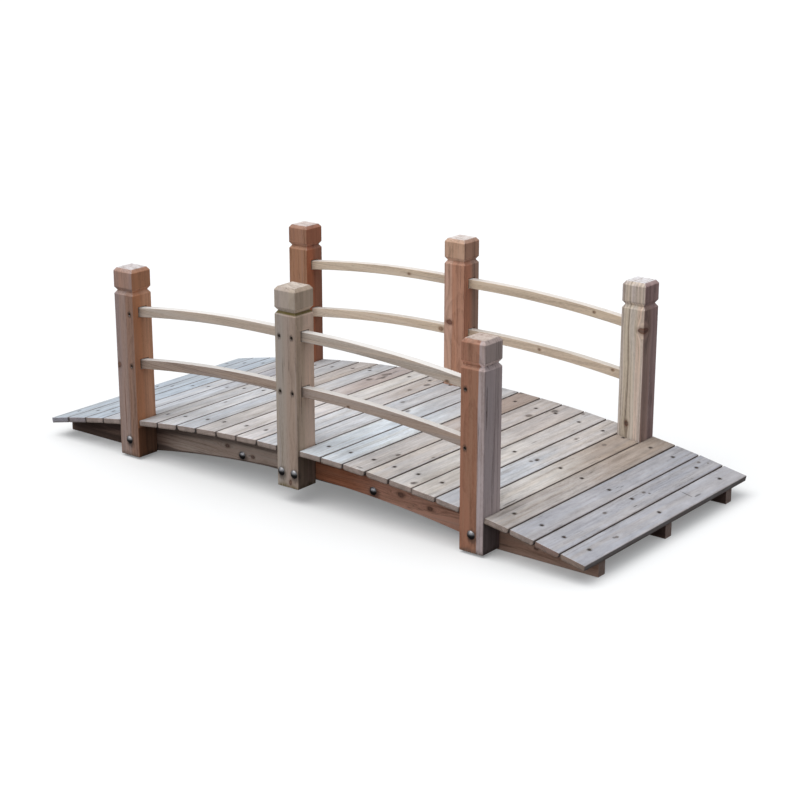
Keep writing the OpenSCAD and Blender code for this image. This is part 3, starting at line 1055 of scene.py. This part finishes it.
def post_masks(post, length, under_deck, outer):
    """A splashed foot, a mossy groove, painted light on faces that look down, and painted shade below the
    deck but for the side whose Z has outer's sign.
    """
    def masks(g, here, normal):
        along = g.split(here)[0]
        inner = g.ramp(g.mul(normal[2], outer), 0.75, 0.35, 0.0, 0.84)
        found = {
            "on_side": g.ramp(normal[1], -0.55, -0.8),
            "low": g.ramp(g.add(along, g.swing(g.noise(here, (9, 60, 60)), 20 * MM)), 12 * MM, 0.0),
            # Painted shade below the deck, but not on the outer face
            "damp": g.mul(g.ramp(along, under_deck + MM, under_deck - 3 * MM), inner),
            # Painted light on the faces that look down
            "flank": g.ramp(normal[0], -0.2, -0.5, 0.0, post["flank"]),
        }
        if "mossy" in post:
            moss = length - GROOVE_DROP - 3 * MM
            found["edge"] = g.ramp(g.abs(g.sub(along, moss)), 4.2 * MM, 1.2 * MM)
        return found
    return masks


def build_post(node, number, rails, screw_bm):
    rng = random.Random(POST_SEED + number)
    post = POSTS[node]
    low, high, middle = box_of(node)
    full = (high.x - low.x) / 2
    length = high.z - low.z
    matrix = Matrix.Translation((middle.x, middle.y, low.z)) @ POST_AXES
    into = matrix.inverted()
    bm = loft(post_rings(length, full))
    wear(bm, POST_WEAR + number, POST_WORN)
    obj = mesh_object(node + "_timber", bm, matrix)
    cutter = bmesh.new()
    for rail in rails:
        add_mortise(cutter, into, rail)
    outward = -1 if low.y < 0 else 1
    face = low.y if low.y < 0 else high.y
    stains = bolt_stains(node, into)
    for rail in rails:
        side = 1 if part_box(rail)[0].x > low.x else -1
        x = middle.x + side * (full - RAIL_SCREW_INSET)
        place = Matrix.Translation((x, face, rail_z(rail, x) - 0.5 * MM))
        place = place @ Matrix.Rotation(radians(90 * -outward), 4, "X")
        add_screw_hole(cutter, into @ place, SCREW_SUNK + RAIL_SCREW_DEEPER)
        add_screw(screw_bm, place @ Matrix.Translation((0, 0, -RAIL_SCREW_DEEPER)))
        stains.append(round_stain(tuple(into @ place.translation), 6 * MM))
    for face_name, *sizes in post["cracks"]:
        right, up, crack_length, crack_width = (value * MM for value in sizes)
        turn = Matrix.Rotation(radians(FACE_TURNS[face_name]), 4, "X")
        place = turn @ Matrix.Translation((up + crack_length / 2, -right, full - 0.4 * MM))
        add_crack(cutter, place, crack_length, crack_width, rng)
        # A dark patch along the crack: painted shade inside it
        stains.append((tuple(place.translation), (0.42 * crack_length, 0.5 * crack_width, 0.5 * crack_width)))
    cut(obj, cutter)
    smooth(obj)
    drawn = (0, rng.uniform(-0.05, 0.05), rng.uniform(-0.09, -0.04))
    masks = post_masks(post, length, stringer_top(middle.x) - low.z, -outward)
    blends = post_blends(post, length)
    material = wood_material(
        node + "_wood", post["look"], rng, post.get("pith", drawn), masks, post["knots"], stains, blends
    )
    dress(obj, node, material)


# Rails

def add_timber(node, rings, middle, seed, worn):
    """A worn timber through sections about its middle. Nothing of it sinks into the ground."""
    bm = loft(rings)
    wear(bm, seed, worn)
    for v in bm.verts:
        v.co.z = max(v.co.z, -middle.z)
    obj = mesh_object(node + "_timber", bm, Matrix.Translation(middle))
    smooth(obj)
    return obj


ALL_RAILS = {"checks": 0.3, "knot": (146, 110, 84)}
# Each look's top colour, for faces that look up, is a painted highlight
RAIL_LOOKS = {
    "near_upper": look((202, 186, 172), top=(217, 214, 211), weathered=0.35, **ALL_RAILS),
    "near_lower": look((175, 156, 144), top=(208, 204, 200), weathered=0.25, **ALL_RAILS),
    "far_upper": look((211, 191, 169), tint=(208, 184, 154), top=(210, 203, 197), weathered=0.1, **ALL_RAILS),
    "far_lower": look((212, 192, 171), tint=(210, 186, 156), top=(204, 196, 188), weathered=0.1, **ALL_RAILS),
}
# Knots on the rails' outer faces: (x, z) in the row frame and radius, all in millimetres
RAIL_KNOTS = {
    "rail_near_right_upper": [(413, 348, 4)], "rail_near_right_lower": [(155, 244, 3)],
    "rail_far_left_upper": [(-151, 374, 3)], "rail_far_left_lower": [(-53, 252, 5)],
    "rail_far_right_upper": [(378, 362, 3)], "rail_far_right_lower": [(232, 249, 3), (432, 236, 3)],
}


def rail_masks(g, here, normal):
    """Painted highlight where it looks up."""
    return {"on_top": g.mul(g.ramp(normal[2], 0.5, 0.85), 0.9)}


def build_rail(node, number):
    rng = random.Random(RAIL_SEED + number)
    low, high, middle = box_of(node)
    ends = (low.x + 0.5 * MM, high.x - 0.5 * MM)
    rings = rail_rings(node, (0, 0, 0), *ends, RAIL_EASE, RAIL_STEP, RAIL_ARRIS)
    rings = [[p - middle for p in ring] for ring in rings]
    obj = add_timber(node, rings, middle, RAIL_WEAR + number, RAIL_WORN)
    knots = []
    for x, z, radius in RAIL_KNOTS.get(node, []):
        centre = (x * MM - middle.x, (low.y - high.y) / 2, z * MM - middle.z)
        knots.append((centre, (1.4 * radius * MM, 9 * MM, radius * MM)))
    pith = (0, rng.uniform(-0.06, 0.06), rng.uniform(-0.08, -0.03))
    _, side, _, level = node.split("_")
    values = RAIL_LOOKS[f"{side}_{level}"]
    dress(obj, node, wood_material(node + "_wood", values, rng, pith, rail_masks, knots))


# Stringers and splice plates

# left_end, much darker, is painted shade: the shadow under the deck past the left post
STRINGER_LOOKS = {
    name: look(light, tint=tint, cool=cool, end=end, bands=1.5)
    for name, light, tint, cool, end in (
        ("left", (189, 168, 155), (170, 143, 129), (178, 165, 155), (150, 128, 118)),
        ("left_end", (128, 104, 92), (108, 80, 70), (112, 98, 90), (120, 98, 90)),
        ("right_start", (168, 108, 80), (156, 94, 64), (150, 104, 82), (132, 110, 104)),
        ("right", (206, 154, 132), (192, 134, 112), (188, 152, 136), (140, 120, 114)),
        ("right_end", (184, 148, 130), (166, 124, 104), (168, 144, 128), (146, 128, 121)),
    )
}
# For each half: the look at its left end, and those it drifts to, with where each starts and where it is full
STRINGER_DRIFTS = {
    "left": ("left_end", [("left", -0.49, -0.34)]),
    "right": ("right_start", [("right", 0.12, 0.25), ("right_end", 0.48, 0.52)]),
}
# Painted shade on the sides that face the middle of the bridge, under the deck
STRINGER_INNER = (62, 46, 42)
# How deep below the deck and how strongly each half has painted shade
STRINGER_DAMP = {"left": (37 * MM, 0.84), "right": (34 * MM, 0.3)}
# The darkening along the left half's lower edge thins out from here
SOLE_DAMP_FROM = -0.47
# Height of the origin of each half's own frame
STRINGER_ORIGIN = 30 * MM
# Knots on the stringers as (x, z, radius), all in millimetres
STRINGER_KNOTS = [(-235, 66, 5), (-157, 56, 4), (342, 48, 5), (610, 25, 4), (266, 61, 6)]


def stringer_masks(half, middle):
    """Painted shade on the inner sides and under the deck's arc, and a darker colour along the left half's
    lower edge.
    """
    inner = -1 if middle.y > 0.1 else (1 if middle.y < -0.1 else 0)
    deep, amount = STRINGER_DAMP[half]

    def masks(g, here, normal):
        def from_axis(height):
            """Distance from the line along Y through an arc's centre, at a height of the row frame."""
            offset = g.vector("SUBTRACT", here, (-middle.x, 0, height - middle.z))
            return g.vector("LENGTH", g.vector("MULTIPLY", offset, (1, 0, 1)))

        along, _, up = g.split(here)
        facing = g.mul(normal[1], inner) if inner else g.abs(normal[1])
        # Painted shade under the deck's arc; the left half also darkens along its lower edge
        damp = g.ramp(from_axis(TOP_Z), TOP_R - deep, TOP_R - deep + 10 * MM, 0.0, amount)
        if half == "left":
            height = g.math("MINIMUM", g.sub(from_axis(ARCH_Z), ARCH_R), g.sub(up, -middle.z))
            height = g.add(height, g.swing(g.noise(here, (14, 60, 60), 3.0), 4 * MM))
            thin_from = SOLE_DAMP_FROM - middle.x
            tall = g.ramp(along, thin_from, thin_from + 0.1, 19 * MM, 4.5 * MM)
            damp = g.most(damp, g.ramp(g.math("DIVIDE", height, tall), 1.2, 0.7, 0.0, 0.85))
        return {"on_side": g.ramp(facing, 0.5, 0.8), "damp": damp}
    return masks


def beam_ring(centre, half_t, half_h, inset, flat_h):
    """A section of a stringer or splice plate about its centre."""
    points = ring_points(half_t - inset, half_h - inset, max(BEAM_ARRIS - inset, 0.3 * MM), 3, flat_h, 3)
    return [centre + Vector((0, y, z)) for y, z in points]


def build_stringer(node, number):
    rng = random.Random(STRINGER_SEED + number)
    low, high, middle = box_of(node)
    middle.z = STRINGER_ORIGIN
    half = node.split("_")[-1]
    spring = copysign(SPRINGING_X, middle.x)
    rings = []
    for x, inset in sorted(eased_ends(low.x, high.x, BEAM_EASE, BEAM_STEP) + [(spring, 0.0)]):
        top = stringer_top(x)
        bottom = ARCH_Z + sqrt(ARCH_R ** 2 - x * x) if abs(x) < SPRINGING_X else 0.0
        centre = Vector((x, 0, (top + bottom) / 2)) - Vector((middle.x, 0, middle.z))
        rings.append(beam_ring(centre, (high.y - low.y) / 2, (top - bottom) / 2, inset, 8))
    obj = add_timber(node, rings, middle, STRINGER_WEAR + number, BEAM_WORN)
    first, drifts = STRINGER_DRIFTS[half]
    # The inner sides take the painted shade colour
    values = {**STRINGER_LOOKS[first], "side": srgb(*STRINGER_INNER)}
    blends = []
    for name, start, full in drifts:
        tones = {key: value for key, value in STRINGER_LOOKS[name].items() if key != "side"}
        blends.append((tones, 0, start - middle.x, full - middle.x))
    own = [(x * MM, z * MM, r * MM) for x, z, r in STRINGER_KNOTS if x * middle.x > 0]
    knots = [((x - middle.x, 0, z - middle.z), (1.5 * r, 30 * MM, r)) for x, z, r in own]
    stains = bolt_stains(node, Matrix.Translation(-middle))
    pith = (0, rng.uniform(-0.08, -0.04), rng.uniform(-0.03, 0.03))
    material = wood_material(
        node + "_wood", values, rng, pith, stringer_masks(half, middle), knots, stains, blends
    )
    dress(obj, node, material)


def build_splice(node, number):
    rng = random.Random(SPLICE_SEED + number)
    low, high, middle = box_of(node)
    size = high - low
    stations = eased_ends(-size.x / 2, size.x / 2, BEAM_EASE, BEAM_STEP)
    rings = [beam_ring(Vector((x, 0, 0)), size.y / 2, size.z / 2, inset, 6) for x, inset in stations]
    obj = add_timber(node, rings, middle, SPLICE_WEAR + number, BEAM_WORN)
    pith = (0, rng.uniform(0.04, 0.08), rng.uniform(-0.03, 0.03))
    # The splice plates take the stringers' dark left_end look, which is painted shade
    dress(obj, node, wood_material(node + "_wood", STRINGER_LOOKS["left_end"], rng, pith))


# Bolts

def add_bolt(bm, matrix, stack):
    """A domed bolt along -Z of matrix through a stack of timber, with washer, nut and threaded tail."""
    dome_r = (BOLT_HEAD_R ** 2 + BOLT_HEAD_H ** 2) / (2 * BOLT_HEAD_H)
    turn = asin(BOLT_HEAD_R / dome_r)
    steps = 10
    dome = []
    for k in range(steps):
        angle = turn * k / steps
        dome.append((dome_r * sin(angle), BOLT_HEAD_H - dome_r * (1 - cos(angle))))
    rim = [(BOLT_HEAD_R - 0.1 * MM, 0.45 * MM), (BOLT_HEAD_R, 0.25 * MM), (BOLT_HEAD_R - 0.15 * MM, 0.0)]
    shank = [(BOLT_R, 0.0), (BOLT_R, -stack), (0, -stack)]
    add_turned(bm, matrix, dome + rim + shank, BOLT_SIDES)
    round_off = 0.3 * MM
    back = -stack - WASHER_T
    washer = [(0, -stack), (WASHER_R - round_off, -stack), (WASHER_R, -stack - round_off),
              (WASHER_R, back + round_off), (WASHER_R - round_off, back), (0, back)]
    add_turned(bm, matrix, washer, BOLT_SIDES)
    add_nut(bm, matrix @ Matrix.Translation((0, 0, back - NUT_H)))
    add_thread(bm, matrix @ Matrix.Translation((0, 0, back - NUT_H - BOLT_TAIL)), BOLT_TAIL + 0.5 * MM)


def add_nut(bm, matrix):
    """A hexagon nut, its corners turned off at both ends."""
    count = 48
    flat, chamfer, sixth = NUT_ACROSS / 2, 0.9 * MM, pi / 3
    from_flat = [(2 * pi * k / count + sixth / 2) % sixth - sixth / 2 for k in range(count)]
    rows = []
    for height, limit in ((0, 0.97), (chamfer, 1.2), (NUT_H - chamfer, 1.2), (NUT_H, 0.97)):
        radii = [min(flat / cos(angle), limit * flat) for angle in from_flat]
        rows.append(round_ring(bm, matrix, radii, height))
    capped(bm, rows)


def add_thread(bm, matrix, length):
    """A threaded rod from its tip at the origin up along Z."""
    around, per_turn = 24, 6
    count = int(length / THREAD_PITCH * per_turn)
    rows = [round_ring(bm, matrix, [BOLT_R - 0.9 * MM] * around, 0)]
    for row in range(1, count + 1):
        height = length * row / count
        waves = [abs(((height / THREAD_PITCH - k / around) % 1) * 2 - 1) for k in range(around)]
        rows.append(round_ring(bm, matrix, [BOLT_R - THREAD_DEEP * wave for wave in waves], height))
    capped(bm, rows)


def build_bolts(node, material):
    """One piece for a node's bolts, each placed by its solid in the frame."""
    bm = bmesh.new()
    for points in solids(node):
        low, high = points.min(0), points.max(0)
        towards = 1 if node == "bolts_far" else -1
        face = high[1] - BOLT_HEAD_H if towards > 0 else low[1] + BOLT_HEAD_H
        stack = high[1] - low[1] - BOLT_HEAD_H - WASHER_T - NUT_H - BOLT_TAIL
        place = Matrix.Translation(((low[0] + high[0]) / 2, face, (low[2] + high[2]) / 2))
        add_bolt(bm, place @ Matrix.Rotation(radians(-90 * towards), 4, "X"), stack)
    bmesh.ops.recalc_face_normals(bm, faces=bm.faces)
    obj = mesh_object(node + "_zinc", bm)
    smooth(obj, 32)
    dress(obj, node, material)


# Stage

def build_stage():
    """A pale floor. It lights the underside of things less than its own look would, as open ground does."""
    bpy.ops.mesh.primitive_plane_add(size=60, location=(0, 0, 0))
    floor = bpy.context.object
    floor.name = "floor"
    material, g, shader = new_material("floor")
    seen = g.node("LightPath")["Is Camera Ray"]
    g.put(shader["Base Color"], g.mix(seen, (FLOOR_BOUNCE,) * 3 + (1,), (FLOOR_SEEN,) * 3 + (1,)))
    g.put(shader["Emission Strength"], g.mul(seen, FLOOR_GLOW))
    g.put(shader["Emission Color"], (1, 1, 1, 1))
    g.put(shader["Roughness"], 0.95)
    floor.data.materials.append(material)


def build_lights():
    """An overcast sky that is brightest overhead and low at the front left, and a wide soft key from high up.

    The camera sees the sky as white as the floor, so that views from low down show no horizon.
    """
    world = bpy.data.worlds.new("soft_sky")
    bpy.context.scene.world = world
    world.use_nodes = True
    g = Graph(world.node_tree)
    background = world.node_tree.nodes["Background"].inputs
    towards = g.node("TexCoord")["Generated"]
    front = g.most(g.vector("DOT_PRODUCT", towards, SKY_FRONT_AT), 0.0)
    strength = g.math("MULTIPLY_ADD", g.most(g.split(towards)[2], 0.0), SKY_HIGH, SKY_LOW)
    strength = g.math("MULTIPLY_ADD", g.mul(front, front), SKY_FRONT, strength)
    seen = g.node("LightPath")["Is Camera Ray"]
    g.put(background["Strength"], g.most(strength, seen))
    g.put(background["Color"], g.mix(seen, (0.94, 0.97, 1.0, 1), (1, 1, 1, 1)))
    data = bpy.data.lights.new("key", "SUN")
    data.energy = KEY_ENERGY
    data.angle = radians(50)
    data.color = (1.0, 0.985, 0.96)
    placed("key", data, (-KEY_FROM).to_track_quat("-Z", "Y").to_matrix().to_4x4())


def build_camera():
    data = bpy.data.cameras.new("camera")
    data.sensor_width, data.lens = 36, CAMERA_LENS
    data.clip_start, data.clip_end = 0.05, 200
    side = CAMERA_FORWARD.cross(CAMERA_UP).normalized()
    up = side.cross(CAMERA_FORWARD).normalized()
    turn = Matrix((side, up, -CAMERA_FORWARD.normalized())).transposed().to_4x4()
    bpy.context.scene.camera = placed("camera", data, Matrix.Translation(CAMERA_AT) @ turn)


build_camera()
build_lights()
build_stage()

screws = bmesh.new()
# 0.85 is the strength of the painted shade on the bolts' lower sides
zinc = metal_material("zinc_plate", (158, 156, 158), 0.26, 0.85)
screw_steel = metal_material("screw_steel", (92, 84, 76), 0.45)
boards = [(node, points) for node in BOARD_NODES for points in solids(node)]
board_rng = random.Random(BOARD_SEED)
for number, (node, points) in enumerate(boards):
    build_board(node, number, points, board_rng, screws)
bays_of_post = {"left": ("left",), "middle": ("left", "right"), "right": ("right",)}
places = [(side, place) for side in ("near", "far") for place in bays_of_post]
for number, (side, place) in enumerate(places):
    build_post(f"post_{side}_{place}", number, rails_of(side, bays_of_post[place]), screws)
for number, node in enumerate(RAIL_NODES):
    build_rail(node, number)
sides = ("near", "middle", "far")
for number, node in enumerate(f"stringer_{side}_{half}" for side in sides for half in ("left", "right")):
    build_stringer(node, number)
for number, side in enumerate(sides):
    build_splice(f"splice_{side}", number)
for node in BOLT_NODES:
    build_bolts(node, zinc)
bmesh.ops.recalc_face_normals(screws, faces=screws.faces)
screw_heads = mesh_object("screws", screws)
smooth(screw_heads, 30)
screw_heads.data.materials.append(screw_steel)
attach(screw_heads, "root")

settings = bpy.context.scene.view_settings
settings.view_transform = "Standard"
settings.look = "None"
